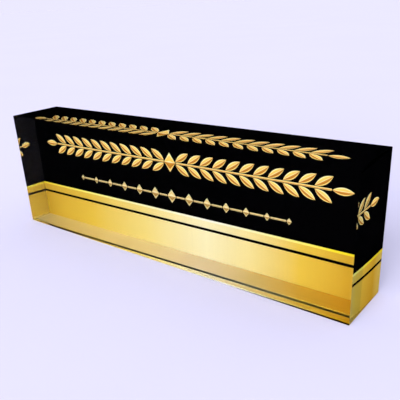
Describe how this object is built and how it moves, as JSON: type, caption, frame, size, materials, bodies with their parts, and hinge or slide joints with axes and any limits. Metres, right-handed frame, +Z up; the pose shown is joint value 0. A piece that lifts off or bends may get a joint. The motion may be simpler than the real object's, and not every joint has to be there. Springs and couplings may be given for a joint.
{
  "type": "desk name plate",
  "caption": "Clear acrylic desk name plate: a free-standing rectangular block, reverse printed on its back face with a black field over gold bands and plain gold ornament rows.",
  "frame": {"origin": "middle of the flat base, halfway along the length and halfway through the whole depth", "axes": "+X along the plate to the viewer's right, +Y from the front face to the printed back, +Z up"},
  "size_m": [0.2032, 0.0306, 0.0635],
  "materials": {
    "clear_acrylic": "polished",
    "black_ink": "gloss",
    "gold_ink": "gloss",
    "pale_gold_ink": "gloss",
    "ornament_gold_ink": "gloss",
    "champagne_gold_ink": "gloss",
    "white_ink": "satin",
    "backing_film": "matte"
  },
  "bodies": {
    "root": {"acrylic_block": "clear_acrylic", "black_ink_field": "black_ink", "laurel_garland": "ornament_gold_ink", "lozenge_rule": "champagne_gold_ink", "gold_edge_line": "pale_gold_ink", "gold_upper_band": "gold_ink", "black_rule": "black_ink", "gold_lower_band": "gold_ink", "white_underbase": "white_ink", "backing_film": "backing_film"}
  },
  "joints": []
}
